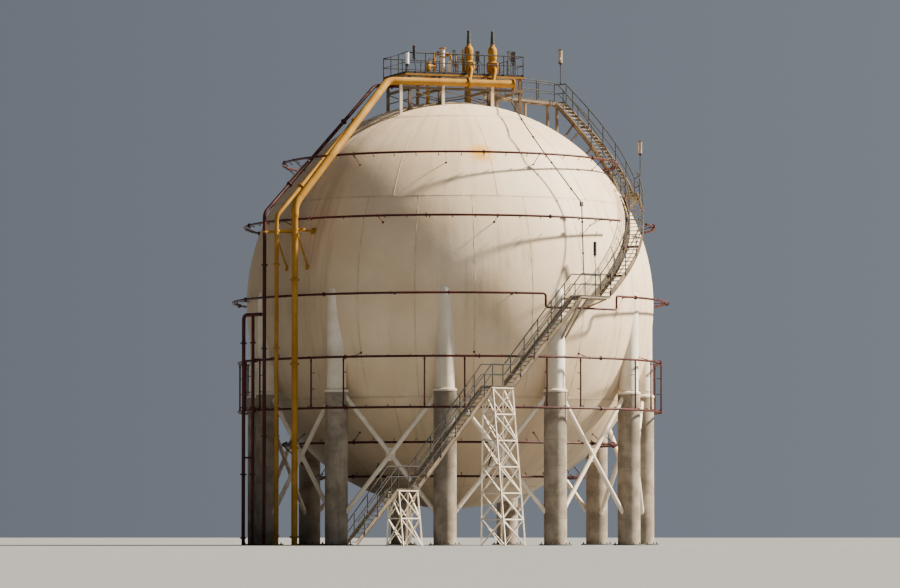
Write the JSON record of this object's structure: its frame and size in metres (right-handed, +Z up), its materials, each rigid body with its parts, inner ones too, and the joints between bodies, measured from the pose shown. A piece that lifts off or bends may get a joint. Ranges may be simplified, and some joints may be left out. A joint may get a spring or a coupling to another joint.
{
  "type": "spherical gas storage tank",
  "caption": "Spherical pressure tank for gas on tubular legs with cross braces, spray rings, winding and straight stairs, roof platform and vent pipe.",
  "frame": {"origin": "middle of the footprint's bounding box, on the ground", "axes": "+Z up, +Y the way the picture looks, +X to its right"},
  "size_m": [21.4026, 29.7642, 25.25],
  "materials": {
    "shell_paint": "semi-matt cream-white paint, with rust stains and dirt streaks",
    "white_paint": "semi-matt white paint over steel and concrete jackets",
    "red_paint": "faded dark red paint",
    "yellow_paint": "faded golden yellow paint",
    "galvanised": "dull galvanised steel"
  },
  "bodies": {
    "root": {"shell_bottom_cap": "shell_paint", "shell_lower_course": "shell_paint", "shell_equator_course": "shell_paint", "shell_upper_course": "shell_paint", "shell_top_cap": "shell_paint", "bottom_outlet": "yellow_paint", "leg_01": "white_paint", "leg_02": "white_paint", "leg_03": "white_paint", "leg_04": "white_paint", "leg_05": "white_paint", "leg_06": "white_paint", "leg_07": "white_paint", "leg_08": "white_paint", "leg_09": "white_paint", "leg_10": "white_paint", "leg_11": "white_paint", "cross_brace_01": "white_paint", "cross_brace_02": "white_paint", "cross_brace_03": "white_paint", "cross_brace_04": "white_paint", "cross_brace_05": "white_paint", "cross_brace_06": "white_paint", "cross_brace_07": "white_paint", "cross_brace_08": "white_paint", "cross_brace_09": "white_paint", "cross_brace_10": "white_paint", "cross_brace_11": "white_paint", "spray_ring_top": "red_paint", "spray_ring_upper": "red_paint", "spray_ring_middle": "red_paint", "spray_rings_at_legs": "red_paint", "spray_rings_lower": "red_paint", "fire_water_risers": "red_paint", "roof_platform": "white_paint", "platform_handrail": "galvanised", "roof_walkway": "white_paint", "walkway_handrail_back": "galvanised", "walkway_handrail_front": "galvanised", "vent_pipe": "yellow_paint", "relief_valve_1": "yellow_paint", "relief_valve_2": "yellow_paint", "vapour_valve": "yellow_paint", "side_pipe_yellow": "yellow_paint", "side_pipe_red": "red_paint", "pipe_guide": "yellow_paint", "stair_flight_1": "galvanised", "stair_flight_2": "galvanised", "stair_flight_3": "galvanised", "stair_flight_4": "galvanised", "stair_flight_5": "galvanised", "stair_landing_1": "galvanised", "stair_landing_2": "galvanised", "stair_landing_3": "white_paint", "stair_landing_4": "white_paint", "winding_handrail_inner": "galvanised", "winding_handrail_outer": "galvanised", "straight_handrail_inner": "galvanised", "straight_handrail_outer": "galvanised"}
  },
  "joints": []
}
